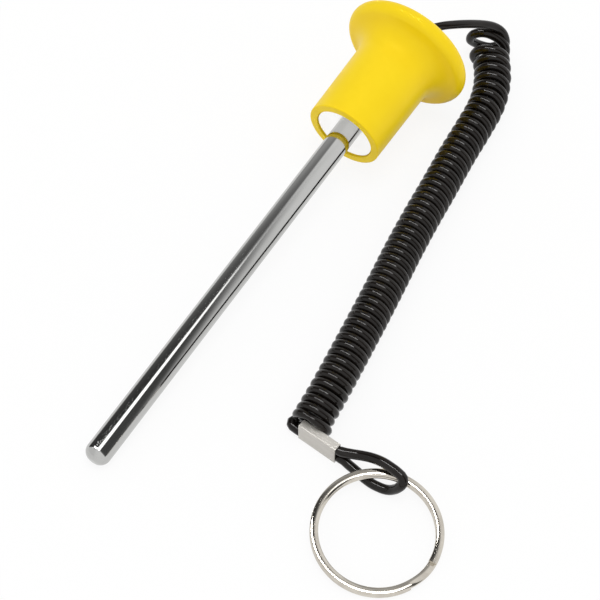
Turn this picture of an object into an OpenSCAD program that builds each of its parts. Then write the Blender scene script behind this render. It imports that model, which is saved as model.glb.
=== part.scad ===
// Weight stack pin on a coiled lanyard: a steel pin with a mushroom knob and a holding
// magnet, a curly cord, a crimp sleeve and a split ring, lying together on a table.
// The origin is on the table, under the middle of the pin. +X runs to the knob's crown.

/* [Rod] */
// Diameter of the rod
rod_d = 9.5; // [8.5:0.1:12]
// Length of the rod that stands out of the knob, from its free end to the mouth
reach = 158.1; // [80:0.1:260]
// Radius that domes the free end
tip_round = 3.8; // [1:0.1:4]
// Length of the rod that is held inside the knob, behind the mouth
rod_grip = 34; // [20:0.5:35.5]
// Diameter of the held shank, behind the shoulder that clamps the magnet
shank_d = 8; // [7.4:0.1:8.3]
// Chamfer on the rod's held end
rod_chamfer = 0.5; // [0.2:0.1:1.5]

/* [Knob] */
// Diameter of the stem at its mouth
stem_d = 30.6; // [28:0.2:34]
// Draft angle of the stem
stem_draft = 0.8; // [0:0.1:2]
// Radius on the mouth's outer edge
mouth_round = 0.5; // [0.3:0.1:1.5]
// Diameter of the mushroom head
head_d = 52; // [48:0.5:70]
// Distance from the mouth to the head's widest plane
head_at = 44.8; // [42:0.2:60]
// Radius on the head's rim
head_round = 3.4; // [2.4:0.1:4]
// Radius of the crowned top
crown_r = 60; // [40:1:150]
// Slope of the head's underside
under_slope = 15; // [0:1:24]
// Radius that blends the stem into the head
flare_r = 8.5; // [3:0.5:9]
// Distance from the mouth to the shoulder that the cord stop pulls against
shoulder_at = 44.4; // [40:0.2:46]
// Countersink where the cord leaves the crown
cord_exit_sink = 1; // [0.2:0.1:2]

/* [Magnet] */
// Outside diameter of the ring magnet
magnet_d = 24.2; // [18:0.1:26]
// Thickness of the magnet
magnet_t = 8; // [3:0.5:15]
// Chamfer on the magnet's edges
magnet_chamfer = 0.3; // [0.1:0.1:0.8]
// Depth of the magnet's face behind the mouth
magnet_recess = 0.6; // [0.2:0.1:4]

/* [Cord] */
// Diameter of the cord
cord_d = 3.3; // [3:0.1:3.5]
// Outside diameter of the coil
coil_od = 14.5; // [12:0.5:16]
// Outside diameter of the cord stop
stop_d = 7; // [5:0.2:7.8]
// Length of the cord stop
stop_l = 8; // [4:0.5:9]

/* [Crimp sleeve] */
// Length of the sleeve
sleeve_l = 15.6; // [12:0.2:15.8]
// Wall of the sleeve
sleeve_wall = 0.8; // [0.4:0.1:1]
// Radius on the sleeve's long edges
sleeve_round = 1; // [0.4:0.1:1.5]

/* [Split ring] */
// Outside diameter of the ring
ring_od = 45.2; // [32:0.2:60]
// Width of the wire, across the ring
wire_w = 2.9; // [2.4:0.05:3.5]
// Thickness of the wire, for each of the two turns
wire_t = 1.6; // [1.2:0.1:1.7]
// Radius on the wire's edges
wire_round = 0.5; // [0.1:0.1:0.5]
// Angle over which the wire steps from one turn to the other
joggle_angle = 30; // [20:5:60]
// Angle of the joggle round the ring
joggle_at = -102; // [-170:1:-60]

/* [Fits] */
// Radial clearance of the shank in the knob
shank_fit = 0.02; // [0.01:0.01:0.05]
// Radial clearance of the magnet in its pocket
magnet_fit = 0.1; // [0.05:0.05:0.3]
// Radial clearance of the shank in the magnet
magnet_bore_fit = 0.15; // [0.05:0.05:0.2]
// Radial clearance of the cord in the crown's hole
cord_hole_fit = 0.3; // [0.2:0.05:0.5]
// Radial clearance of the cord in the cord stop and in the sleeve
crimp_fit = 0.05; // [0.02:0.01:0.1]
// Gap between the two strands in the sleeve
strand_gap = 0.2; // [0.1:0.05:0.5]
// Gap between the two turns of the split ring
turn_gap = 0.08; // [0.04:0.02:0.2]
// Height of the ring's wire over the strand below it
ring_play = 0.8; // [0.75:0.05:1.2]

/* [Hidden] */
$fn = 96;

// Radii and depths that follow from the sizes above
rod_r = rod_d / 2;
cord_r = cord_d / 2;
rim_r = head_d / 2 - head_round;
tip_r = rod_r - tip_round;
magnet_floor = magnet_recess + magnet_t;
head_a = reach + head_at;
crown_a = head_a - sqrt(pow(crown_r - head_round, 2) - pow(rim_r, 2));
top_a = crown_a + crown_r;

// The pin lies on its domed end and on the rim of its head, so it leans by this angle
lean_run = head_a - tip_round;
lean_rise = rim_r - tip_r;
lean = atan2(lean_rise, lean_run)
    + asin((head_round - tip_round) / norm([lean_run, lean_rise]));
tip_z = tip_r * cos(lean) + tip_round * (1 - sin(lean));
pin_min_x = tip_round * cos(lean) - tip_r * sin(lean) - tip_round;
pin_max_x = crown_a * cos(lean) + crown_r;
tip_x = -(pin_min_x + pin_max_x) / 2;

// How far a rounding circle runs past its tangent lines, so that the two always cross
bite = 0.002;
// Overshoot of cuts through open faces
cut = 1;

// Crimp sleeve: the middle of its coil-side end, and the turn of its axis from -Y
sleeve_at = [-53.8, -52.5];
sleeve_turn = -5;
channel_r = cord_r + crimp_fit;
strand_rise = cord_d + strand_gap;
sleeve_thick = 2 * (channel_r + sleeve_wall);
sleeve_h = sleeve_thick + strand_rise;
low_z = sleeve_thick / 2;
high_z = low_z + strand_rise;

// Split ring: the middle of its wire inside the cord's loop, the bearing of that place
// from the ring's centre, and the bearing toward which the ring rises over the strand
ring_hold = [-54.2, -85.2];
hold_bearing = 28.5;
rise_bearing = 49;
ring_step = 5;
wire_r = (ring_od - wire_w) / 2;
turn_rise = wire_t + turn_gap;
ring_lean = asin((cord_d + ring_play) / (2 * wire_r));
ring_at = [
    ring_hold.x - wire_r * cos(hold_bearing),
    ring_hold.y - wire_r * sin(hold_bearing),
    ring_od / 2 * sin(ring_lean) + (wire_t + turn_rise) / 2 * cos(ring_lean)
];

// Cord: sides of the swept tubes, and route points set between each pair of chosen points
cord_sides = 8;
coil_sides = 16;
route_steps = 2;

// Centre line of the coil, from the knob's end to the sleeve's end
coil_z = coil_od / 2;
coil_points = [
    [135, -16.5], [127.2, -22], [120.2, -26.7], [112.6, -30.3], [104.2, -32.7],
    [95.3, -33.9], [77.3, -35.8], [60.2, -38.1], [43.4, -40.2], [27.3, -42.6],
    [11.8, -45.3], [-3.3, -47.8], [-18.2, -50.1], [-32.7, -52.3], [-39.9, -53.3],
    [-49.5, -54.8]
];
coil_route = [for (p = coil_points) [p.x, p.y, coil_z]];

// Where the lead meets the coil's first face, and where the cord leaves its last face
lead_join = [138, -20.75, 5.2];
loop_join = [-48.4, -53.2, cord_r];

// Lead: straight out of the crown, down to the table and round into the coil
lead_clear = 5;
lead_points = [
    [113.5, -1.9, 27], [117, -4.9, 26], [119.8, -6.5, 25], [123.1, -8.4, 23.4],
    [126.4, -10.1, 21.4], [130, -12, 19.3], [133.4, -13.6, 17.3], [136.6, -15, 15.2],
    [139.2, -16.4, 12.8], [140.8, -17.6, 10.2], [141.2, -18.6, 7.6], [140, -19.6, 5.8],
    lead_join
];

// The cord turns back at the end of the coil and lies on the table on its way to the sleeve
turn_points = [
    loop_join, [-49.6, -50.6, cord_r], [-50.7, -48.5, cord_r], [-52.1, -47.4, cord_r],
    [-53.7, -47.6, 1.85], [-54.4, -49.1, 2.2]
];

// End loop: under the ring's wire, up inside the ring and back over the wire
loop_points = [
    [-55.4, -70.5, 2.1], [-55.8, -73, 1.8], [-56.5, -77, cord_r], [-57.2, -80.6, cord_r],
    [-57.5, -84, cord_r], [-57.2, -87, cord_r], [-56.7, -89.6, 2.3], [-56.2, -91.7, 4.2],
    [-55.7, -93.3, 6.8], [-54.9, -94, 9], [-53.9, -93.4, 10.3], [-53.3, -91.2, 10.8],
    [-52.8, -88, 10.7], [-52.4, -84.2, 10.1], [-52.4, -80.4, 8.9], [-52.9, -76.6, 7.5],
    [-53.8, -73.2, 6.5], [-54.8, -70, 6.1]
];

// A point on the pin's axis, a along it from the free end
function axis_point(a) = [tip_x + a * cos(lean), 0, tip_z + a * sin(lean)];

// A point on a strand in the sleeve, a along it from the coil-side end
function sleeve_point(a, z) =
    [sleeve_at.x + a * sin(sleeve_turn), sleeve_at.y - a * cos(sleeve_turn), z];

function unit(v) = v / norm(v);

// A point on the smooth curve from b to c, with a and d as the points beyond them
function curve_point(a, b, c, d, t) =
    (2 * b + (c - a) * t + (2 * a - 5 * b + 4 * c - d) * t * t
    + (3 * b - a - 3 * c + d) * t * t * t) / 2;

// The route with steps pieces of a smooth curve between each pair of its points
function smooth(route, steps) = [
    for (i = [0:len(route) - 2], k = [0:steps - 1])
        curve_point(
            route[max(i - 1, 0)], route[i], route[i + 1],
            route[min(i + 2, len(route) - 1)], k / steps
        ),
    route[len(route) - 1]
];

// Direction of a route at its point i
function heading(route, i) =
    i == 0 ? unit(route[1] - route[0])
    : i == len(route) - 1 ? unit(route[i] - route[i - 1])
    : unit(unit(route[i + 1] - route[i]) + unit(route[i] - route[i - 1]));

// Normals carried along the route without twist, from point i on
function carried(route, normal, i = 0) =
    i == len(route) ? []
    : let (h = heading(route, i), n = unit(normal - (normal * h) * h))
        concat([n], carried(route, n, i + 1));

// The route, lifted where it would pass into the table
function on_table(route) = [for (p = route) [p.x, p.y, max(p.z, cord_r)]];

// The round section of radius r at p, slid along h into the plane across face
function section(p, n, h, r, sides, face) = [
    for (j = [0:sides - 1])
        let (
            a = 360 * j / sides,
            v = r * (cos(a) * n + sin(a) * cross(h, n))
        )
        p + v - h * (v * face) / (h * face)
];

// Sections of a tube along a route. Its ends are cut square to first and to last.
function tube_sections(route, r, sides, normal, first, last) =
    let (
        normals = carried(route, normal),
        end = len(route) - 1
    )
    [
        for (i = [0:end])
            let (h = heading(route, i))
            section(
                route[i], normals[i], h, r, sides,
                i == 0 && first ? first : i == end && last ? last : h
            )
    ];

// A closed solid through a row of sections with the same count of points
module skin(sections) {
    sides = len(sections[0]);
    end = len(sections) - 1;
    polyhedron(
        points = [for (s = sections, p = s) p],
        faces = concat(
            [[for (j = [0:sides - 1]) j]],
            [
                for (i = [0:end - 1], j = [0:sides - 1])
                    let (
                        near = i * sides,
                        far = near + sides,
                        next = (j + 1) % sides
                    )
                    [near + j, far + j, far + next, near + next]
            ],
            [[for (j = [sides - 1:-1:0]) end * sides + j]]
        )
    );
}

// Lays a piece that is drawn upright on the pin's axis into the pin's resting place
module on_pin() {
    translate([tip_x, 0, tip_z])
        rotate([0, 90 - lean, 0])
            children();
}

module pin_rod() {
    shoulder_a = reach + magnet_recess;
    end_a = reach + rod_grip;
    shank_r = shank_d / 2;
    color("silver")
        on_pin()
            rotate_extrude() {
                polygon([
                    [0, 0], [tip_r, 0], [tip_r, tip_round], [rod_r, tip_round],
                    [rod_r, shoulder_a], [shank_r, shoulder_a],
                    [shank_r, end_a - rod_chamfer], [shank_r - rod_chamfer, end_a], [0, end_a]
                ]);
                intersection() {
                    translate([tip_r, tip_round])
                        circle(tip_round + bite);
                    square([rod_r, tip_round + cut]);
                }
            }
}

// Outline of the knob from its axis out, with the mouth at y = 0
module knob_outline() {
    wall = [sin(stem_draft), cos(stem_draft)];
    wall_out = [cos(stem_draft), -sin(stem_draft)];
    under_out = [sin(under_slope), -cos(under_slope)];
    mouth_edge = [stem_d / 2, 0];
    rim = [rim_r, head_at];
    rim_foot = rim + head_round * under_out;

    // The blend's centre lies flare_r outside the stem's wall and the head's underside
    wall_d = mouth_edge * wall_out + flare_r;
    under_d = rim_foot * under_out + flare_r;
    det = wall_out.x * under_out.y - wall_out.y * under_out.x;
    flare = [
        (wall_d * under_out.y - under_d * wall_out.y) / det,
        (wall_out.x * under_d - under_out.x * wall_d) / det
    ];
    wall_foot = flare - flare_r * wall_out;
    under_foot = flare - flare_r * under_out;

    // The mouth's round touches the mouth plane and the drafted wall
    mouth = [
        (mouth_edge * wall_out - mouth_round - mouth_round * wall_out.y) / wall_out.x,
        mouth_round
    ];
    crown_y = crown_a - reach;
    crown_out = unit([rim_r, head_at - crown_y]);

    difference() {
        union() {
            polygon([
                [0, 0], [mouth.x, 0], mouth, mouth + mouth_round * wall_out,
                wall_foot, flare, under_foot, rim_foot, rim, [0, head_at]
            ]);
            translate(mouth)
                circle(mouth_round + bite);
            translate(rim)
                circle(head_round + bite);
            intersection() {
                translate([0, crown_y])
                    circle(crown_r);
                polygon([
                    [0, head_at - cut], rim - [0, cut], rim,
                    rim + 2 * head_round * crown_out, [0, crown_y + crown_r + cut]
                ]);
            }
        }
        translate(flare)
            circle(flare_r + bite);
    }
}

module knob() {
    pocket_r = magnet_d / 2 + magnet_fit;
    bore_r = shank_d / 2 + shank_fit;
    hole_r = cord_r + cord_hole_fit;
    top_y = top_a - reach;
    color("gold")
        on_pin()
            translate([0, 0, reach])
                difference() {
                    rotate_extrude(convexity = 6)
                        knob_outline();
                    translate([0, 0, -cut])
                        cylinder(r = pocket_r, h = magnet_floor + cut);
                    cylinder(r = bore_r, h = shoulder_at);
                    cylinder(r = hole_r, h = top_y + cut);
                    translate([0, 0, top_y - cord_exit_sink])
                        cylinder(
                            r1 = hole_r,
                            r2 = hole_r + cord_exit_sink + cut,
                            h = cord_exit_sink + cut
                        );
                }
}

module ring_magnet() {
    r = magnet_d / 2;
    bore_r = shank_d / 2 + magnet_bore_fit;
    edge = magnet_chamfer;
    color("lightgray")
        on_pin()
            translate([0, 0, reach + magnet_recess])
                rotate_extrude()
                    polygon([
                        [bore_r, edge], [bore_r + edge, 0], [r - edge, 0], [r, edge],
                        [r, magnet_t - edge], [r - edge, magnet_t],
                        [bore_r + edge, magnet_t], [bore_r, magnet_t - edge]
                    ]);
}

module cord_stop() {
    color("darkgray")
        on_pin()
            translate([0, 0, reach + shoulder_at - stop_l])
                difference() {
                    cylinder(d = stop_d, h = stop_l);
                    translate([0, 0, -cut])
                        cylinder(r = channel_r, h = stop_l + 2 * cut);
                }
}

module cord_lead() {
    out = [
        axis_point(reach + shoulder_at - stop_l), axis_point(reach + shoulder_at),
        axis_point(top_a), axis_point(top_a + lead_clear)
    ];
    route = concat([out[0], out[1], out[2]], smooth(concat([out[3]], lead_points), route_steps));
    color("black")
        skin(tube_sections(
            route, cord_r, cord_sides, [0, 1, 0], undef, coil_route[1] - coil_route[0]
        ));
}

module cord_coil() {
    color("black")
        skin(tube_sections(
            smooth(coil_route, route_steps), coil_od / 2, coil_sides, [0, 0, 1], undef, undef
        ));
}

module cord_loop() {
    end = len(coil_route) - 1;
    route = concat(
        on_table(smooth(concat(turn_points, [sleeve_point(-cut, low_z)]), route_steps)),
        [sleeve_point(0, low_z), sleeve_point(sleeve_l, low_z)],
        on_table(smooth(
            concat(
                [sleeve_point(sleeve_l + cut, low_z)],
                loop_points,
                [sleeve_point(sleeve_l + cut, high_z)]
            ),
            route_steps
        )),
        [sleeve_point(sleeve_l, high_z), sleeve_point(0, high_z)]
    );
    color("black")
        skin(tube_sections(
            route, cord_r, cord_sides, [0, 0, 1],
            coil_route[end] - coil_route[end - 1], undef
        ));
}

// A bar with round edges, seen from its end: w wide, h high, standing on y = 0
module round_bar(w, h, r) {
    translate([-w / 2, r])
        square([w, h - 2 * r]);
    translate([-w / 2 + r, 0])
        square([w - 2 * r, h]);
    for (side = [-1, 1], y = [r, h - r])
        translate([side * (w / 2 - r), y])
            circle(r);
}

module crimp_sleeve() {
    color("silver")
        translate([sleeve_at.x, sleeve_at.y, 0])
            rotate([90, 0, sleeve_turn])
                linear_extrude(sleeve_l)
                    difference() {
                        round_bar(sleeve_thick, sleeve_h, sleeve_round);
                        for (z = [low_z, high_z])
                            translate([0, z])
                                circle(channel_r);
                        translate([-channel_r, low_z])
                            square([2 * channel_r, strand_rise]);
                    }
}

// Section of the ring's wire at an angle round the ring and a height above its middle
function wire_section(angle, z) = [
    for (quarter = [0:3], part = [0:2])
        let (
            a = 90 * quarter + 45 * part,
            side_x = quarter == 0 || quarter == 3 ? 1 : -1,
            side_z = quarter < 2 ? 1 : -1,
            out = wire_r + side_x * (wire_w / 2 - wire_round) + wire_round * cos(a)
        )
        [
            out * cos(angle), out * sin(angle),
            z + side_z * (wire_t / 2 - wire_round) + wire_round * sin(a)
        ]
];

// Share of the step from the lower turn to the upper one, t through the joggle
function eased(t) =
    let (s = min(max(t, 0), 1))
    s * s * (3 - 2 * s);

module split_ring() {
    turn = 360 - joggle_angle;
    start = joggle_at - joggle_angle / 2;
    color("silver")
        translate(ring_at)
            rotate([0, 0, rise_bearing])
                rotate([0, -ring_lean, 0])
                    rotate([0, 0, -rise_bearing])
                        skin([
                            for (a = [0:ring_step:turn + 360])
                                wire_section(
                                    start - a,
                                    turn_rise * (eased((a - turn) / joggle_angle) - 0.5)
                                )
                        ]);
}

pin_rod();
knob();
ring_magnet();
cord_stop();
cord_lead();
cord_coil();
cord_loop();
crimp_sleeve();
split_ring();
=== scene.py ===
"""Dresses a weight stack pin and its coiled lanyard for rendering.

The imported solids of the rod, knob, magnet and cord stop are the fixed frame. This script adds
the free cord as one real length, the split ring and the crimp sleeve, gives every surface
its finish, and sets up the studio: floor, light and camera.
"""

import logging
import math
from collections.abc import Callable
from dataclasses import dataclass, field
from enum import Enum

import bpy
from mathutils import Matrix, Vector


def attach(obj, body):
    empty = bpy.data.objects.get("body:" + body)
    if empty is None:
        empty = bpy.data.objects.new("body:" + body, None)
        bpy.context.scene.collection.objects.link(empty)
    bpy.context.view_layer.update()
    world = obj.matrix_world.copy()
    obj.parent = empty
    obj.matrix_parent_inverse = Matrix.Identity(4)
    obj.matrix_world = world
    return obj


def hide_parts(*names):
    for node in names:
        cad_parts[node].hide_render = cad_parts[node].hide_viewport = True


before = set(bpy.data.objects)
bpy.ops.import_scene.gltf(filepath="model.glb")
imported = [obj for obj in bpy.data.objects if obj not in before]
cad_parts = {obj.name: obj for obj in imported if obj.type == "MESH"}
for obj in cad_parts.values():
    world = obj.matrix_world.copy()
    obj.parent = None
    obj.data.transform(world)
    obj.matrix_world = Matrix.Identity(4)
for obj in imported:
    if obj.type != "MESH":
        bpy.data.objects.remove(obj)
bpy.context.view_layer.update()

MM = 0.001
log = logging.getLogger("weight_stack_pin")

Colour = tuple[float, float, float, float]
Route = tuple[tuple[float, float, float], ...]
Stations = tuple[tuple[float, float], ...]

WHITE = (1.0, 1.0, 1.0, 1.0)
# Places of the Mix node's sockets for colours, whose names its other sockets share
MIX_FIRST, MIX_SECOND, MIX_RESULT = 6, 7, 2


class Body(Enum):
    """Bodies of the frame that pieces ride on."""

    PIN = "pin"
    RING = "ring"


class Slot(Enum):
    """Material slots of the record that the pieces made here take."""

    CRIMP = "crimp_metal"
    CORD = "black_cord"
    RING = "ring_nickel"


class Part(Enum):
    """Parts of a mesh that are picked for editing."""

    EDGES = "edges"
    FACES = "faces"


# ---------------------------------------------------------------- routes and places


def smooth_route(points: list[Vector], spacing: float) -> list[Vector]:
    """Draws a smooth curve through a route's points, however unevenly they are spaced.

    Args:
        points: The route, in order.
        spacing: Greatest distance between the curve's points.

    Returns:
        Points on the curve, the route's own points among them.
    """
    spans = [b - a for a, b in zip(points, points[1:])]
    headings = [spans[0].normalized()]
    for before, after in zip(spans, spans[1:]):
        d0, d1 = before.length, after.length
        headings.append((before * (d1 / d0) + after * (d0 / d1)) / (d0 + d1))
    headings.append(spans[-1].normalized())
    curve = []
    for i, span in enumerate(spans):
        a, b, d = points[i], points[i + 1], span.length
        count = max(math.ceil(d / spacing), 1)
        for k in range(count):
            t = k / count
            curve.append(
                a * (1 + 2 * t) * (1 - t) ** 2
                + headings[i] * (d * t * (1 - t) ** 2)
                + b * t * t * (3 - 2 * t)
                + headings[i + 1] * (d * t * t * (t - 1))
            )
    return curve + [points[-1].copy()]


def even_route(points: list[Vector], spacing: float) -> list[Vector]:
    """Sets a polyline's points anew at even distances along it.

    Args:
        points: The polyline.
        spacing: Distance wanted between points.

    Returns:
        The new points, with the same two ends.
    """
    count = round(route_length(points) / spacing)
    step = route_length(points) / count
    even, due, done = [points[0].copy()], step, 0.0
    for a, b in zip(points, points[1:]):
        span = (b - a).length
        while due <= done + span and len(even) < count:
            even.append(a.lerp(b, (due - done) / span))
            due += step
        done += span
    return even + [points[-1].copy()]


def route_length(points: list[Vector]) -> float:
    """Returns the length of a polyline."""
    return sum((b - a).length for a, b in zip(points, points[1:]))


def between(stations: Stations, x: float) -> float:
    """Interpolates a value between stations.

    Args:
        stations: Pairs of a place and the value there, in rising order of place.
        x: The place.

    Returns:
        The value, held beyond the first and the last station.
    """
    if x <= stations[0][0]:
        return stations[0][1]
    for (x0, y0), (x1, y1) in zip(stations, stations[1:]):
        if x <= x1:
            return y0 + (y1 - y0) * (x - x0) / (x1 - x0)
    return stations[-1][1]


@dataclass(frozen=True)
class PinAxis:
    """The lying pin's axis: it rests on its domed end and on its head's rim. Sizes in mm."""

    rod_d: float = 9.5
    tip_round: float = 3.8
    reach: float = 158.1
    head_d: float = 52.0
    head_at: float = 44.8
    head_round: float = 3.4
    crown_r: float = 60.0
    shoulder_at: float = 44.4
    stop_l: float = 8.0

    @property
    def crown_a(self) -> float:
        """Finds the centre of the crown's sphere.

        Returns:
            Its distance from the free end, in mm.
        """
        rim_r = self.head_d / 2 - self.head_round
        rise = math.sqrt((self.crown_r - self.head_round) ** 2 - rim_r**2)
        return self.reach + self.head_at - rise

    @property
    def top_a(self) -> float:
        """Distance from the free end to the top of the crown."""
        return self.crown_a + self.crown_r

    @property
    def lean(self) -> float:
        """Finds how the pin lies.

        Returns:
            The angle between its axis and the table, in radians.
        """
        run = self.reach + self.head_at - self.tip_round
        rise = (self.head_d / 2 - self.head_round) - (self.rod_d / 2 - self.tip_round)
        drop = self.head_round - self.tip_round
        return math.atan2(rise, run) + math.asin(drop / math.hypot(run, rise))

    def point(self, a: float) -> Vector:
        """Finds a point on the axis.

        Args:
            a: Distance from the free end, in mm.

        Returns:
            The point in the frame, in metres.
        """
        lean, tip_r = self.lean, self.rod_d / 2 - self.tip_round
        low_x = self.tip_round * (math.cos(lean) - 1) - tip_r * math.sin(lean)
        high_x = self.crown_a * math.cos(lean) + self.crown_r
        tip_z = tip_r * math.cos(lean) + self.tip_round * (1 - math.sin(lean))
        x = -(low_x + high_x) / 2 + a * math.cos(lean)
        return Vector((x, 0, tip_z + a * math.sin(lean))) * MM


# ---------------------------------------------------------------- modelling helpers


def adopt(piece: bpy.types.Object, name: str, body: Body) -> bpy.types.Object:
    """Names a finished piece and puts it on its body.

    Args:
        piece: The piece, in place.
        name: Its name.
        body: The body it moves with.

    Returns:
        The piece.
    """
    piece.name = name
    piece.data.name = name
    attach(piece, body.value)
    return piece


def dress(piece: bpy.types.Object, material: bpy.types.Material) -> None:
    """Gives a piece its one material."""
    piece.data.materials.clear()
    piece.data.materials.append(material)


def line_object(name: str, points: list[Vector], closed: bool = False) -> bpy.types.Object:
    """Makes a curve object of one straight-sided spline.

    Args:
        name: Name of the object.
        points: The spline's points.
        closed: Whether the last point joins the first.

    Returns:
        The curve object, linked to the scene.
    """
    curve = bpy.data.curves.new(name, "CURVE")
    curve.dimensions = "3D"
    spline = curve.splines.new("POLY")
    spline.points.add(len(points) - 1)
    for place, point in zip(spline.points, points):
        place.co = (*point, 1.0)
    spline.use_cyclic_u = closed
    spline.use_smooth = True
    piece = bpy.data.objects.new(name, curve)
    bpy.context.scene.collection.objects.link(piece)
    return piece


def select_only(piece: bpy.types.Object) -> None:
    """Makes a piece the only selected and the active one.

    Args:
        piece: The piece.
    """
    bpy.ops.object.select_all(action="DESELECT")
    piece.select_set(True)
    bpy.context.view_layer.objects.active = piece


def edit_picked(piece: bpy.types.Object, part: Part, test: Callable[[object], bool]) -> None:
    """Opens a mesh for editing with only the parts selected that pass a test.

    Args:
        piece: The mesh object, the active one.
        part: Whether edges or faces are picked.
        test: Says of an edge or a face whether it is picked.
    """
    mesh = piece.data
    bpy.context.tool_settings.mesh_select_mode = (False, part is Part.EDGES, part is Part.FACES)
    for group in (mesh.vertices, mesh.edges, mesh.polygons):
        group.foreach_set("select", [False] * len(group))
    for item in mesh.edges if part is Part.EDGES else mesh.polygons:
        item.select = test(item)
    bpy.ops.object.mode_set(mode="EDIT")


# ---------------------------------------------------------------- finishes


class NodeSheet:
    """A small drawing board for a material's or a group's nodes."""

    def __init__(self, tree: bpy.types.NodeTree) -> None:
        """Starts on an empty tree."""
        self.tree = tree
        tree.nodes.clear()

    def add(self, kind: str, **settings: object) -> bpy.types.Node:
        """Adds a node.

        Args:
            kind: The node's type name.
            settings: Attributes to set on it.

        Returns:
            The node.
        """
        node = self.tree.nodes.new(kind)
        for key, value in settings.items():
            setattr(node, key, value)
        return node

    def link(self, source: bpy.types.NodeSocket, target: bpy.types.NodeSocket) -> None:
        """Joins an output to an input."""
        self.tree.links.new(source, target)

    def blend(
        self,
        share: bpy.types.NodeSocket,
        first: bpy.types.NodeSocket,
        second: bpy.types.NodeSocket,
    ) -> bpy.types.NodeSocket:
        """Blends two shaders.

        Args:
            share: Output that gives the second shader's share.
            first: Output of the first shader.
            second: Output of the second shader.

        Returns:
            The output of the blend.
        """
        node = self.add("ShaderNodeMixShader")
        for source, target in zip((share, first, second), node.inputs):
            self.link(source, target)
        return node.outputs["Shader"]


BROAD_DETAIL = 3.0
BROAD_ROUGHNESS = 0.55
FINE_DETAIL = 2.0


def surface_grain() -> bpy.types.NodeTree:
    """Builds the group that every finish uses for its fine unevenness.

    Returns:
        A group with inputs Vector, Scale, Fine and outputs Mask and Height.
    """
    name = "surface_grain"
    if name in bpy.data.node_groups:
        return bpy.data.node_groups[name]
    tree = bpy.data.node_groups.new(name, "ShaderNodeTree")
    tree.interface.new_socket("Vector", in_out="INPUT", socket_type="NodeSocketVector")
    for socket in ("Scale", "Fine"):
        tree.interface.new_socket(socket, in_out="INPUT", socket_type="NodeSocketFloat")
    for socket in ("Mask", "Height"):
        tree.interface.new_socket(socket, in_out="OUTPUT", socket_type="NodeSocketFloat")
    sheet = NodeSheet(tree)
    given = sheet.add("NodeGroupInput")
    made = sheet.add("NodeGroupOutput")
    broad = sheet.add("ShaderNodeTexNoise")
    broad.inputs["Detail"].default_value = BROAD_DETAIL
    broad.inputs["Roughness"].default_value = BROAD_ROUGHNESS
    fine = sheet.add("ShaderNodeTexNoise")
    fine.inputs["Detail"].default_value = FINE_DETAIL
    finer = sheet.add("ShaderNodeMath", operation="MULTIPLY")
    sheet.link(given.outputs["Vector"], broad.inputs["Vector"])
    sheet.link(given.outputs["Vector"], fine.inputs["Vector"])
    sheet.link(given.outputs["Scale"], broad.inputs["Scale"])
    sheet.link(given.outputs["Scale"], finer.inputs[0])
    sheet.link(given.outputs["Fine"], finer.inputs[1])
    sheet.link(finer.outputs[0], fine.inputs["Scale"])
    sheet.link(broad.outputs["Fac"], made.inputs["Mask"])
    sheet.link(fine.outputs["Fac"], made.inputs["Height"])
    return tree


@dataclass(frozen=True)
class Finish:
    """A surface finish: what its shader gets, and how uneven it is.

    The grain varies the tone from shade to colour and the roughness from high to low. The
    fine grain, finer by its factor, raises the surface by up to bump_depth metres.
    """

    name: str
    colour: Colour
    shade: Colour
    metallic: float
    roughness: tuple[float, float]
    grain_scale: float
    grain_stretch: tuple[float, float, float] = (1.0, 1.0, 1.0)
    fine: float = 8.0
    bump: float = 0.02
    bump_depth: float = 0.0001
    specular: float = 0.5
    mask_range: tuple[float, float] = (0.35, 0.65)

    def build(self) -> bpy.types.Material:
        """Builds the finish's material.

        Returns:
            The material, with its colour, roughness and bump from the piece's own coordinates.
        """
        material = bpy.data.materials.new(self.name)
        material.use_nodes = True
        sheet = NodeSheet(material.node_tree)
        out = sheet.add("ShaderNodeOutputMaterial")
        shader = sheet.add("ShaderNodeBsdfPrincipled")
        place = sheet.add("ShaderNodeTexCoord")
        mapping = sheet.add("ShaderNodeMapping")
        mapping.inputs["Scale"].default_value = self.grain_stretch
        grain = sheet.add("ShaderNodeGroup", node_tree=surface_grain())
        grain.inputs["Scale"].default_value = self.grain_scale
        grain.inputs["Fine"].default_value = self.fine
        tone = sheet.add("ShaderNodeValToRGB")
        tones = zip(tone.color_ramp.elements, self.mask_range, (self.shade, self.colour))
        for element, position, colour in tones:
            element.position = position
            element.color = colour
        gloss = sheet.add("ShaderNodeMapRange")
        gloss.inputs["From Min"].default_value = self.mask_range[0]
        gloss.inputs["From Max"].default_value = self.mask_range[1]
        gloss.inputs["To Min"].default_value = self.roughness[1]
        gloss.inputs["To Max"].default_value = self.roughness[0]
        bump = sheet.add("ShaderNodeBump")
        bump.inputs["Strength"].default_value = self.bump
        bump.inputs["Distance"].default_value = self.bump_depth
        shader.inputs["Metallic"].default_value = self.metallic
        shader.inputs["Specular IOR Level"].default_value = self.specular
        sheet.link(place.outputs["Object"], mapping.inputs["Vector"])
        sheet.link(mapping.outputs["Vector"], grain.inputs["Vector"])
        sheet.link(grain.outputs["Mask"], tone.inputs["Fac"])
        sheet.link(grain.outputs["Mask"], gloss.inputs["Value"])
        sheet.link(grain.outputs["Height"], bump.inputs["Height"])
        sheet.link(tone.outputs["Color"], shader.inputs["Base Color"])
        sheet.link(gloss.outputs["Result"], shader.inputs["Roughness"])
        sheet.link(bump.outputs["Normal"], shader.inputs["Normal"])
        sheet.link(shader.outputs["BSDF"], out.inputs["Surface"])
        return material


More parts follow.
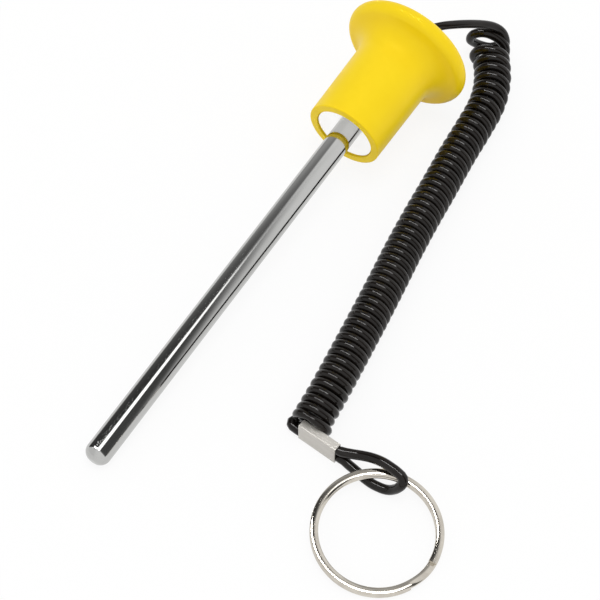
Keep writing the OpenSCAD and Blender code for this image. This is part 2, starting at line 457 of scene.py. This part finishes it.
POLISHED_STEEL = Finish(
    name="polished_steel",
    colour=(0.55, 0.55, 0.54, 1.0),
    shade=(0.48, 0.48, 0.47, 1.0),
    metallic=1.0,
    roughness=(0.06, 0.13),
    grain_scale=90.0,
    grain_stretch=(0.12, 1.0, 1.0),
    bump=0.03,
)
YELLOW_PLASTIC = Finish(
    name="yellow_plastic",
    colour=(0.95, 0.685, 0.006, 1.0),
    shade=(0.93, 0.66, 0.004, 1.0),
    metallic=0.0,
    roughness=(0.38, 0.46),
    grain_scale=60.0,
    fine=40.0,
    bump=0.1,
    specular=0.22,
)
NICKEL_PLATE = Finish(
    name="nickel_plate",
    colour=(0.985, 0.98, 0.97, 1.0),
    shade=(0.96, 0.955, 0.94, 1.0),
    metallic=1.0,
    roughness=(0.12, 0.18),
    grain_scale=150.0,
    bump=0.03,
)
CRIMP_METAL = Finish(
    name="crimp_metal",
    colour=(0.585, 0.56, 0.52, 1.0),
    shade=(0.53, 0.505, 0.46, 1.0),
    metallic=0.1,
    roughness=(0.34, 0.42),
    grain_scale=260.0,
    grain_stretch=(1.0, 0.15, 1.0),
    bump=0.08,
)
BLACK_CORD = Finish(
    name="black_cord",
    colour=(0.0115, 0.009, 0.0075, 1.0),
    shade=(0.0065, 0.005, 0.004, 1.0),
    metallic=0.0,
    roughness=(0.05, 0.09),
    grain_scale=120.0,
    fine=12.0,
    bump=0.06,
    specular=0.26,
)
RING_NICKEL = Finish(
    name="ring_nickel",
    colour=(0.66, 0.62, 0.55, 1.0),
    shade=(0.55, 0.51, 0.45, 1.0),
    metallic=1.0,
    roughness=(0.09, 0.14),
    grain_scale=200.0,
    bump=0.05,
)


# ---------------------------------------------------------------- the pieces


@dataclass
class SolidPieces:
    """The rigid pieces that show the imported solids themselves."""

    finishes: dict[str, Finish] = field(
        default_factory=lambda: {
            "pin_rod": POLISHED_STEEL,
            "knob": YELLOW_PLASTIC,
            "ring_magnet": NICKEL_PLATE,
            "cord_stop": CRIMP_METAL,
        }
    )

    def dress(self) -> None:
        """Gives each solid its finish."""
        for node, finish in self.finishes.items():
            dress(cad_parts[node], finish.build())
            log.info("dressed %s", node)


@dataclass
class Sleeve:
    """The crimp sleeve, pressed flat round the cord's two strands. Sizes in mm."""

    at: tuple[float, float] = (-54.3, -52.4)
    turn: float = math.radians(-4.4)
    length: float = 15.8
    thick: float = 3.5
    high: float = 8.8
    wall: float = 0.4
    top_round: float = 0.6
    foot_round: float = 0.3
    round_steps: int = 6
    rim_round: float = 0.1
    rim_steps: int = 2
    rim_angle: float = math.radians(60)
    smooth_angle: float = math.radians(40)
    # How far inside its ends it grips, and the heights of the two strands
    grip_in: float = 0.7
    low_z: float = 1.95
    high_z: float = 6.65

    def strand(self, a: float, upper: bool) -> Vector:
        """Finds a point on a strand.

        Args:
            a: Distance along the sleeve from its coil-side end.
            upper: Whether it is the upper strand.

        Returns:
            The point, in mm.
        """
        return Vector(
            (
                self.at[0] + a * math.sin(self.turn),
                self.at[1] - a * math.cos(self.turn),
                self.high_z if upper else self.low_z,
            )
        )

    def holds(self, point: Vector) -> bool:
        """Says whether the sleeve grips the cord at a point.

        Args:
            point: The point on the cord's middle line, in mm.

        Returns:
            Whether it lies in the sleeve, off its ends.
        """
        offset = Vector((point.x - self.at[0], point.y - self.at[1]))
        along = offset.x * math.sin(self.turn) - offset.y * math.cos(self.turn)
        across = offset.x * math.cos(self.turn) + offset.y * math.sin(self.turn)
        inside = self.grip_in <= along <= self.length - self.grip_in
        return inside and abs(across) < self.thick / 2

    def is_long_edge(self, mesh: bpy.types.Mesh, edge: bpy.types.MeshEdge, side: int) -> bool:
        """Says whether an edge of the level block runs along it.

        Args:
            mesh: The block's mesh.
            edge: The edge.
            side: The half that it has to lie in: 1 for the top, -1 for the foot.

        Returns:
            Whether the edge is a long one of that half.
        """
        start, end = (mesh.vertices[v].co for v in edge.vertices)
        is_long = abs(start.y - end.y) > self.length / 2 * MM
        return is_long and start.z * side > 0 and end.z * side > 0

    def build(self) -> bpy.types.Object:
        """Presses the sleeve from a block: rounded, hollowed and with its rims eased.

        Returns:
            The sleeve's mesh object.
        """
        bpy.ops.object.select_all(action="DESELECT")
        bpy.ops.mesh.primitive_cube_add(size=1)
        sleeve = bpy.context.active_object
        bpy.ops.object.mode_set(mode="EDIT")
        bpy.ops.transform.resize(
            value=(self.thick * MM, self.length * MM, self.high * MM), center_override=(0, 0, 0)
        )
        bpy.ops.object.mode_set(mode="OBJECT")
        mesh = sleeve.data
        for side, rounding in ((1, self.top_round), (-1, self.foot_round)):
            edit_picked(sleeve, Part.EDGES, lambda edge: self.is_long_edge(mesh, edge, side))
            bpy.ops.mesh.bevel(offset=rounding * MM, segments=self.round_steps, profile=0.5)
            bpy.ops.object.mode_set(mode="OBJECT")
        edit_picked(sleeve, Part.FACES, lambda face: round(abs(face.normal.y)) == 1)
        bpy.ops.mesh.delete(type="FACE")
        bpy.ops.object.mode_set(mode="OBJECT")
        wall = sleeve.modifiers.new("wall", "SOLIDIFY")
        wall.thickness = self.wall * MM
        wall.offset = -1.0
        bpy.ops.object.modifier_apply(modifier=wall.name)
        rims = sleeve.modifiers.new("rims", "BEVEL")
        rims.limit_method = "ANGLE"
        rims.angle_limit = self.rim_angle
        rims.width = self.rim_round * MM
        rims.segments = self.rim_steps
        bpy.ops.object.modifier_apply(modifier=rims.name)
        middle = Vector((*self.strand(self.length / 2, False).xy, self.high / 2))
        place = Matrix.Translation(middle * MM) @ Matrix.Rotation(self.turn, 4, "Z")
        sleeve.data.transform(place)
        bpy.ops.object.shade_smooth_by_angle(angle=self.smooth_angle)
        dress(sleeve, CRIMP_METAL.build())
        adopt(sleeve, "sleeve", Body.PIN)
        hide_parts("crimp_sleeve")
        log.info("sleeve: %d faces", len(sleeve.data.polygons))
        return sleeve


@dataclass
class CoilCord:
    """The cord, from its stop in the knob to its cut end in the crimp sleeve. Sizes in mm."""

    axis: PinAxis
    sleeve: Sleeve
    diameter: float = 3.3
    # What the jacket adds to the thickness
    skin: float = 0.1
    coil_od: float = 14.5
    # Length in metres
    real_length: float = 2.0
    steps_per_turn: int = 32
    spacing: float = 1.1
    bevel_steps: int = 5
    # How far past the crown the cord stays straight
    lead_clear: float = 5.0
    # Share of the thickness that is left in the sleeve
    squash: float = 0.66
    # How full the cord is along it: distance from its stop, and the share of its thickness
    fullness: Stations = (
        (0, 1.0),
        (75, 1.0),
        (90, 1.13),
        (190, 1.13),
        (380, 1.0),
        (1900, 1.0),
        (1960, 1.06),
    )
    # From the crown to the coil's right side
    lead: Route = (
        (112.6, -2.4, 27.3),
        (116.0, -5.0, 27.0),
        (120.1, -7.7, 25.6),
        (125.1, -10.7, 23.3),
        (130.3, -13.6, 20.3),
        (133.5, -15.6, 18.2),
        (136.1, -17.5, 16.0),
        (137.5, -19.0, 14.2),
        (138.3, -20.5, 12.2),
        (138.6, -21.6, 9.8),
    )
    # The first, loose turns, from the coil's right side
    loose_turns: Route = (
        (138.6, -22.2, 7.0),
        (139.3, -21.2, 4.0),
        (140.1, -18.4, 2.1),
        (137.4, -15.8, 1.95),
        (135.7, -12.4, 2.6),
        (133.8, -10.4, 4.6),
        (132.1, -9.4, 7.25),
        (132.1, -10.5, 10.9),
        (133.6, -14.3, 12.85),
        (135.5, -19.5, 11.2),
        (136.0, -23.4, 7.25),
        (134.6, -23.9, 3.5),
        (130.8, -20.0, 1.75),
        (127.0, -16.1, 3.3),
        (125.6, -14.9, 7.25),
        (125.9, -17.0, 11.2),
    )
    # The middle line of the close turns, seen from above
    middle: Stations = (
        (135, -16.5),
        (127.2, -22),
        (120.2, -26.7),
        (112.6, -30.3),
        (104.2, -32.7),
        (95.3, -33.9),
        (77.3, -35.8),
        (60.2, -38.1),
        (43.4, -40.2),
        (27.3, -42.6),
        (11.8, -45.3),
        (-3.3, -47.8),
        (-18.2, -50.1),
        (-32.7, -52.3),
        (-39.9, -53.3),
        (-49.5, -54.4),
        (-55, -55.0),
    )
    # Turns wound so far, and the distance along the coil's middle line there
    winding: Stations = (
        (2, 9.3),
        (2.75, 12.0),
        (3, 13.4),
        (4, 18.0),
        (6, 27.5),
        (8, 36.4),
        (9, 40.5),
        (10, 44.6),
        (12, 52.4),
        (14, 60.1),
        (18, 74.8),
        (26.5, 105),
        (32.4, 125),
        (46.8, 175),
        (51.25, 191.2),
        (51.75, 192.3),
        (52, 194.0),
    )
    # Turns wound so far, and how far the undersides of the turns lag behind their crests
    lag: Stations = ((37, 0.0), (44, 2.1), (52, 4.5))
    # From the last crest down beside the sleeve, under the coil and back to the sleeve
    turn_back: Route = (
        (-52.6, -57.8, 11.6),
        (-51.6, -60.0, 9.0),
        (-50.7, -60.7, 6.0),
        (-49.9, -59.6, 3.2),
        (-49.7, -57.2, 1.8),
        (-49.8, -53.5, 1.75),
        (-50.0, -50.6, 1.75),
        (-50.9, -48.3, 1.75),
        (-52.3, -47.2, 1.75),
        (-53.6, -47.8, 1.75),
        (-54.1, -49.8, 1.85),
    )
    # From the lower strand round the end loop to the upper strand
    loop: Route = (
        (-55.4, -70.5, 2.1),
        (-55.8, -73, 1.8),
        (-56.5, -77, 1.65),
        (-57.2, -80.6, 1.65),
        (-57.5, -84, 1.65),
        (-57.2, -87, 1.65),
        (-56.7, -89.6, 2.3),
        (-56.2, -91.7, 4.2),
        (-55.7, -93.3, 6.8),
        (-54.9, -94, 9),
        (-53.9, -93.4, 10.3),
        (-53.3, -91.2, 10.8),
        (-52.8, -88, 10.7),
        (-52.4, -84.2, 10.1),
        (-52.4, -80.4, 8.9),
        (-52.9, -76.6, 7.5),
        (-53.8, -73.2, 6.5),
        (-54.8, -70, 6.1),
    )

    def middle_line(self) -> list[Vector]:
        """Returns the coil's middle line as a dense polyline, in mm."""
        points = [Vector((x, y, self.coil_od / 2)) for x, y in self.middle]
        return smooth_route(points, self.spacing / 2)

    def lag_share(self, angle: float) -> float:
        """Says how much of the lag a place on a turn has.

        Args:
            angle: Angle round the turn, from its crest over the right side, in radians.

        Returns:
            The share: none from the left side to the crest, all at the underside.
        """
        if math.sin(angle) >= 0:
            return (1 - math.cos(angle)) / 2
        return max(-math.cos(angle), 0.0) ** 2

    def even_turns(self) -> list[Vector]:
        """Winds the close turns of the coil round its middle line.

        Returns:
            The cord's centreline there, in mm.
        """
        line = self.middle_line()
        marks = [0.0]
        for a, b in zip(line, line[1:]):
            marks.append(marks[-1] + (b - a).length)
        height = (self.coil_od - self.diameter) / 2
        first, last = self.winding[0][0], self.winding[-1][0]
        made = []
        for i in range((last - first) * self.steps_per_turn + 1):
            n = first + i / self.steps_per_turn
            angle = 2 * math.pi * n
            s = between(self.winding, n) - between(self.lag, n) * self.lag_share(angle)
            seek = 0
            while seek < len(marks) - 2 and marks[seek + 1] < s:
                seek += 1
            a, b = line[seek], line[seek + 1]
            heading = (b - a).normalized()
            right = Vector((0, 0, 1)).cross(heading)
            made.append(
                a
                + heading * (s - marks[seek])
                + right * height * math.sin(angle)
                + Vector((0, 0, height * math.cos(angle)))
            )
        return made

    def centreline(self) -> list[Vector]:
        """Puts the cord's stretches together.

        Returns:
            The whole centreline, in mm.
        """
        axis, sleeve = self.axis, self.sleeve
        stop_a = axis.reach + axis.shoulder_at
        straight = [
            axis.point(a) / MM
            for a in (stop_a - axis.stop_l, stop_a, axis.top_a, axis.top_a + self.lead_clear)
        ]
        middle_a = sleeve.length / 2
        low = [sleeve.strand(a, False) for a in (0, middle_a, sleeve.length)]
        high = [sleeve.strand(a, True) for a in (sleeve.length, middle_a, sleeve.grip_in)]
        route = [
            *straight,
            *map(Vector, self.lead),
            *map(Vector, self.loose_turns),
            *self.even_turns(),
            *map(Vector, self.turn_back),
            *low,
            *map(Vector, self.loop),
            *high,
        ]
        line = even_route(smooth_route(route, self.spacing / 4), self.spacing)
        for point, share in zip(line, self.thickness(line)):
            point.z = max(point.z, share * (self.diameter + self.skin) / 2)
        return line

    def thickness(self, line: list[Vector]) -> list[float]:
        """Finds how full the cord is at each point: pressed in the sleeve, swelling beside it.

        Args:
            line: The centreline, evenly spaced, in mm.

        Returns:
            A share of the cord's thickness for each point.
        """
        full = [
            self.squash if self.sleeve.holds(point) else between(self.fullness, i * self.spacing)
            for i, point in enumerate(line)
        ]
        before, after = full[:1] + full[:-1], full[1:] + full[-1:]
        return [sum(shares) / len(shares) for shares in zip(before, full, after)]

    def build(self) -> bpy.types.Object:
        """Returns:
            The cord's curve object.
        """
        line = self.centreline()
        cord = line_object("cord", [p * MM for p in line])
        for place, share in zip(cord.data.splines[0].points, self.thickness(line)):
            place.radius = share
        cord.data.bevel_depth = (self.diameter + self.skin) / 2 * MM
        cord.data.bevel_resolution = self.bevel_steps
        cord.data.use_fill_caps = True
        dress(cord, BLACK_CORD.build())
        adopt(cord, "cord", Body.PIN)
        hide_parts("cord_lead", "cord_coil", "cord_loop")
        log.info("cord: %.3f m in %d points", route_length(line) * MM, len(line))
        return cord

    def declare(self) -> None:
        self.axis.point(self.axis.top_a)


@dataclass
class SplitRing:
    """The split ring: one flattened wire of two turns with a joggle. Sizes in mm."""

    od: float = 45.2
    wire_w: float = 2.9
    wire_t: float = 1.6
    wire_points: int = 32
    # Power of the sine and cosine that shape the wire's oval: below 1 for a fuller one
    crown: float = 0.8
    turn_gap: float = 0.08
    # The cord that one edge rests on, and the room over it
    cord_d: float = 3.3
    play: float = 0.8
    # Where the loop holds the wire, and the bearings of that place and of the highest one
    hold: tuple[float, float] = (-54.2, -85.2)
    hold_bearing: float = math.radians(28.5)
    rise_bearing: float = math.radians(49)
    joggle_angle: float = math.radians(30)
    joggle_at: float = math.radians(-102)
    step: float = math.radians(2)
    weld: float = 0.001
    smooth_angle: float = math.radians(50)

    @property
    def wire_r(self) -> float:
        """Radius of the wire's middle."""
        return (self.od - self.wire_w) / 2

    @property
    def turn_rise(self) -> float:
        """Height from one turn to the other."""
        return self.wire_t + self.turn_gap

    def placement(self) -> Matrix:
        """Finds how the level ring at the origin is laid into place.

        Returns:
            The matrix, in metres.
        """
        lean = math.asin((self.cord_d + self.play) / (2 * self.wire_r))
        half = (self.wire_t + self.turn_rise) / 2
        centre = Vector(
            (
                self.hold[0] - self.wire_r * math.cos(self.hold_bearing),
                self.hold[1] - self.wire_r * math.sin(self.hold_bearing),
                self.od / 2 * math.sin(lean) + half * math.cos(lean),
            )
        )
        to_rise = Matrix.Rotation(self.rise_bearing, 4, "Z")
        tilt = Matrix.Rotation(-lean, 4, "Y")
        return Matrix.Translation(centre * MM) @ to_rise @ tilt @ to_rise.inverted()

    def wire_line(self) -> list[Vector]:
        """Draws the middle line of the wire, level and about the origin.

        Returns:
            The line's points, in metres.
        """
        turn = 2 * math.pi - self.joggle_angle
        start = self.joggle_at - self.joggle_angle / 2
        count = round((turn + 2 * math.pi) / self.step)
        line = []
        for i in range(count + 1):
            a = (turn + 2 * math.pi) * i / count
            share = min(max((a - turn) / self.joggle_angle, 0.0), 1.0)
            z = self.turn_rise * (share * share * (3 - 2 * share) - 0.5)
            x, y = self.wire_r * math.cos(start - a), self.wire_r * math.sin(start - a)
            line.append(Vector((x, y, z)) * MM)
        return line

    def wire_outline(self) -> list[Vector]:
        """Draws the wire's crowned oval section, flat and about the origin.

        Returns:
            The outline's points, in metres.
        """
        outline = []
        for i in range(self.wire_points):
            a = 2 * math.pi * i / self.wire_points
            across = math.copysign(abs(math.cos(a)) ** self.crown, math.cos(a)) * self.wire_w / 2
            up = math.copysign(abs(math.sin(a)) ** self.crown, math.sin(a)) * self.wire_t / 2
            outline.append(Vector((across, up, 0)) * MM)
        return outline

    def build(self) -> bpy.types.Object:
        """Sweeps the wire's section along its line and lays the ring into place.

        Returns:
            The ring's mesh object.
        """
        outline = line_object("wire_outline", self.wire_outline(), closed=True)
        ring = line_object("split_ring_wire", self.wire_line())
        ring.data.twist_mode = "Z_UP"
        ring.data.bevel_mode = "OBJECT"
        ring.data.bevel_object = outline
        ring.data.use_fill_caps = True
        select_only(ring)
        bpy.ops.object.convert(target="MESH")
        bpy.data.objects.remove(outline)
        ring.data.transform(self.placement())
        bpy.ops.object.mode_set(mode="EDIT")
        bpy.ops.mesh.select_all(action="SELECT")
        bpy.ops.mesh.remove_doubles(threshold=self.weld * MM)
        bpy.ops.mesh.normals_make_consistent(inside=False)
        bpy.ops.object.mode_set(mode="OBJECT")
        bpy.ops.object.shade_smooth_by_angle(angle=self.smooth_angle)
        dress(ring, RING_NICKEL.build())
        adopt(ring, "ring_wire", Body.RING)
        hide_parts("split_ring")
        log.info("ring: %d faces", len(ring.data.polygons))
        return ring


# ---------------------------------------------------------------- the studio


@dataclass
class Studio:
    """Floor, light and camera.

    Shiny surfaces see a room of their own: a round lamp and a long thin one overhead, a white
    card on the near side and a darker far side. Matt surfaces get an even light and the
    round lamp's.
    """

    floor_size: float = 6.0
    floor_matte: Colour = (0.97, 0.97, 0.97, 1.0)
    # Share of the floor's own light for what sees it directly or mirrors it
    floor_glow: float = 0.88
    eye: tuple[float, float, float] = (-0.2950, -0.2139, 0.5179)
    look: tuple[float, float, float] = (0.46127, 0.31061, -0.83111)
    up: tuple[float, float, float] = (0.68939, 0.46421, 0.55610)
    sensor: float = 36.0
    lens: float = 101.59
    near_clip: float = 0.01
    far_clip: float = 50.0
    # Strength of the even light, and of the round lamp's as a share of a full sky
    fill: float = 0.8
    key_share: float = 0.22
    # The round lamp: where it hangs, its half angle, its soft edge and its mirrored strength
    lamp_toward: tuple[float, float, float] = (0.04, -0.1, 0.994)
    lamp_far: float = 3.0
    lamp_spread: float = math.radians(13.5)
    lamp_edge: float = math.radians(1.5)
    lamp_glow: float = 2.4
    # The long lamp, along Y: its middle and half widths, as the X and Y of a direction to it
    strip_at: tuple[float, float] = (0.0, 0.2)
    strip_half: tuple[float, float] = (0.045, 0.45)
    strip_edge: float = 0.02
    strip_glow: float = 30.0
    # The Y of a direction at which the card has given way to the far side
    card_end: float = 0.25
    # Grey levels of the card and the far side, by the X of a direction
    card_steps: Stations = (
        (-0.2, 1.0),
        (-0.08, 0.13),
        (0.22, 0.07),
        (0.25, 0.12),
        (0.29, 0.45),
        (0.325, 0.9),
        (0.35, 1.0),
    )
    room_steps: Stations = (
        (-0.2, 0.9),
        (-0.08, 0.04),
        (0.2, 0.05),
        (0.28, 0.12),
        (0.32, 0.19),
        (0.345, 0.26),
        (0.38, 0.45),
    )

    def build_camera(self) -> None:
        """Places the camera at the chosen eye, square to its look direction."""
        data = bpy.data.cameras.new("camera")
        data.sensor_fit = "HORIZONTAL"
        data.sensor_width = self.sensor
        data.lens = self.lens
        data.clip_start = self.near_clip
        data.clip_end = self.far_clip
        camera = bpy.data.objects.new("camera", data)
        bpy.context.scene.collection.objects.link(camera)
        back = -Vector(self.look).normalized()
        up = Vector(self.up).normalized()
        right = up.cross(back).normalized()
        up = back.cross(right)
        turn = Matrix((right, up, back)).transposed().to_4x4()
        camera.matrix_world = Matrix.Translation(Vector(self.eye)) @ turn
        bpy.context.scene.camera = camera

    def build_floor(self) -> None:
        """Lays the pale floor, which keeps a soft part of the shadow."""
        bpy.ops.object.select_all(action="DESELECT")
        bpy.ops.mesh.primitive_plane_add(size=self.floor_size, location=(0, 0, 0))
        floor = bpy.context.active_object
        floor.name = "floor"
        material = bpy.data.materials.new("pale_floor")
        material.use_nodes = True
        sheet = NodeSheet(material.node_tree)
        out = sheet.add("ShaderNodeOutputMaterial")
        matte = sheet.add("ShaderNodeBsdfDiffuse")
        matte.inputs["Color"].default_value = self.floor_matte
        glow = sheet.add("ShaderNodeEmission")
        glow.inputs["Color"].default_value = WHITE
        glow.inputs["Strength"].default_value = 1.0
        path = sheet.add("ShaderNodeLightPath")
        seen = sheet.add("ShaderNodeMath", operation="MAXIMUM")
        share = sheet.add("ShaderNodeMath", operation="MULTIPLY")
        share.inputs[1].default_value = self.floor_glow
        sheet.link(path.outputs["Is Camera Ray"], seen.inputs[0])
        sheet.link(path.outputs["Is Glossy Ray"], seen.inputs[1])
        sheet.link(seen.outputs[0], share.inputs[0])
        surface = sheet.blend(share.outputs[0], matte.outputs["BSDF"], glow.outputs["Emission"])
        sheet.link(surface, out.inputs["Surface"])
        dress(floor, material)

    def white_light(self, sheet: NodeSheet, strength: float = 1.0) -> bpy.types.Node:
        """Adds an even white background.

        Args:
            sheet: The world's nodes.
            strength: Its strength.

        Returns:
            The background's node.
        """
        light = sheet.add("ShaderNodeBackground")
        light.inputs["Color"].default_value = WHITE
        light.inputs["Strength"].default_value = strength
        return light

    def disc_shape(self, sheet: NodeSheet, way: bpy.types.NodeSocket) -> bpy.types.NodeSocket:
        """Draws the round lamp's face.

        Args:
            sheet: The world's nodes.
            way: Output that gives the direction looked in.

        Returns:
            An output that is 1 on the lamp and 0 off it.
        """
        aim = sheet.add("ShaderNodeVectorMath", operation="DOT_PRODUCT")
        aim.inputs[1].default_value = Vector(self.lamp_toward).normalized()
        inside = sheet.add("ShaderNodeMapRange", interpolation_type="SMOOTHSTEP")
        inside.inputs["From Min"].default_value = math.cos(self.lamp_spread + self.lamp_edge)
        inside.inputs["From Max"].default_value = math.cos(self.lamp_spread - self.lamp_edge)
        sheet.link(way, aim.inputs[0])
        sheet.link(aim.outputs["Value"], inside.inputs["Value"])
        return inside.outputs["Result"]

    def strip_shape(self, sheet: NodeSheet, split: bpy.types.Node) -> bpy.types.NodeSocket:
        """Draws the long lamp's face.

        Args:
            sheet: The world's nodes.
            split: The node that gives the X, Y and Z of the direction looked in.

        Returns:
            An output that is 1 on the lamp and 0 off it.
        """
        strip = sheet.add("ShaderNodeMath", operation="MULTIPLY")
        for i, axis in enumerate("XY"):
            offset = sheet.add("ShaderNodeMath", operation="SUBTRACT")
            offset.inputs[1].default_value = self.strip_at[i]
            far = sheet.add("ShaderNodeMath", operation="ABSOLUTE")
            inside = sheet.add("ShaderNodeMapRange", interpolation_type="SMOOTHSTEP")
            inside.inputs["From Min"].default_value = self.strip_half[i] + self.strip_edge
            inside.inputs["From Max"].default_value = self.strip_half[i] - self.strip_edge
            sheet.link(split.outputs[axis], offset.inputs[0])
            sheet.link(offset.outputs[0], far.inputs[0])
            sheet.link(far.outputs[0], inside.inputs["Value"])
            sheet.link(inside.outputs["Result"], strip.inputs[i])
        return strip.outputs[0]

    def room_colour(self, sheet: NodeSheet, split: bpy.types.Node) -> bpy.types.NodeSocket:
        """Draws the card and the far side.

        Args:
            sheet: The world's nodes.
            split: The node that gives the X, Y and Z of the direction looked in.

        Returns:
            The output with their colour.
        """
        along = sheet.add("ShaderNodeMapRange")
        along.inputs["From Min"].default_value = -1.0
        across = sheet.add("ShaderNodeMapRange", interpolation_type="SMOOTHSTEP")
        across.inputs["From Max"].default_value = self.card_end
        joined = sheet.add("ShaderNodeMix", data_type="RGBA")
        sheet.link(split.outputs["X"], along.inputs["Value"])
        sheet.link(split.outputs["Y"], across.inputs["Value"])
        sheet.link(across.outputs["Result"], joined.inputs["Factor"])
        for steps, place in ((self.card_steps, MIX_FIRST), (self.room_steps, MIX_SECOND)):
            ramp = sheet.add("ShaderNodeValToRGB")
            self.set_steps(ramp, steps)
            sheet.link(along.outputs["Result"], ramp.inputs["Fac"])
            sheet.link(ramp.outputs["Color"], joined.inputs[place])
        return joined.outputs[MIX_RESULT]

    def build_world(self) -> None:
        """Sets the light that comes from all round, and what shiny surfaces see of it."""
        world = bpy.data.worlds.new("studio")
        world.use_nodes = True
        bpy.context.scene.world = world
        sheet = NodeSheet(world.node_tree)
        out = sheet.add("ShaderNodeOutputWorld")
        path = sheet.add("ShaderNodeLightPath")
        place = sheet.add("ShaderNodeTexCoord")
        split = sheet.add("ShaderNodeSeparateXYZ")
        way = place.outputs["Generated"]
        sheet.link(way, split.inputs["Vector"])
        shape = sheet.add("ShaderNodeMath", operation="MAXIMUM")
        glow = sheet.add("ShaderNodeMath", operation="MAXIMUM")
        lamps = (
            (self.disc_shape(sheet, way), self.lamp_glow),
            (self.strip_shape(sheet, split), self.strip_glow),
        )
        for i, (mask, strength) in enumerate(lamps):
            scaled = sheet.add("ShaderNodeMath", operation="MULTIPLY")
            scaled.inputs[1].default_value = strength
            sheet.link(mask, shape.inputs[i])
            sheet.link(mask, scaled.inputs[0])
            sheet.link(scaled.outputs[0], glow.inputs[i])
        soft = self.white_light(sheet, self.fill).outputs["Background"]
        clear = self.white_light(sheet).outputs["Background"]
        room, face = self.white_light(sheet), self.white_light(sheet)
        sheet.link(self.room_colour(sheet, split), room.inputs["Color"])
        sheet.link(glow.outputs[0], face.inputs["Strength"])
        shiny = sheet.blend(
            shape.outputs[0], room.outputs["Background"], face.outputs["Background"]
        )
        unseen = sheet.blend(path.outputs["Is Glossy Ray"], soft, shiny)
        whole = sheet.blend(path.outputs["Is Camera Ray"], unseen, clear)
        sheet.link(whole, out.inputs["Surface"])

    def set_steps(self, ramp: bpy.types.Node, steps: Stations) -> None:
        """Puts grey steps on a colour ramp.

        Args:
            ramp: The ramp's node.
            steps: Pairs of a place from -1 to 1 and a grey level, in rising order of place.
        """
        elements = ramp.color_ramp.elements
        while len(elements) < len(steps):
            elements.new(1.0)
        for element, (position, level) in zip(elements, steps):
            element.position = (position + 1) / 2
            element.color = (level, level, level, 1.0)

    def build_lamp(self) -> None:
        """Hangs the round lamp overhead, unmirrored: the world shows its face."""
        data = bpy.data.lights.new("key", "AREA")
        data.shape = "DISK"
        data.size = 2 * self.lamp_far * math.tan(self.lamp_spread)
        radiance = self.key_share / math.sin(self.lamp_spread) ** 2
        data.energy = radiance * (math.pi * data.size / 2) ** 2
        key = bpy.data.objects.new("key", data)
        key.visible_glossy = False
        bpy.context.scene.collection.objects.link(key)
        toward = Vector(self.lamp_toward).normalized()
        turn = toward.to_track_quat("Z", "Y").to_matrix().to_4x4()
        key.matrix_world = Matrix.Translation(toward * self.lamp_far) @ turn

    def build(self) -> None:
        """Builds the whole studio."""
        self.build_camera()
        self.build_floor()
        self.build_world()
        self.build_lamp()
        bpy.context.scene.view_settings.view_transform = "Standard"


def main() -> None:
    """Builds and dresses the object, then the studio."""
    logging.basicConfig(level=logging.INFO, format="%(name)s: %(message)s")
    axis = PinAxis()
    studio = Studio()
    studio.build()
    sleeve_maker = Sleeve()
    cord_maker = CoilCord(axis, sleeve_maker)
    cord = cord_maker.build()
    sleeve = sleeve_maker.build()
    ring = SplitRing().build()
    SolidPieces().dress()
    cord_maker.declare()


if __name__ == "__main__":
    main()
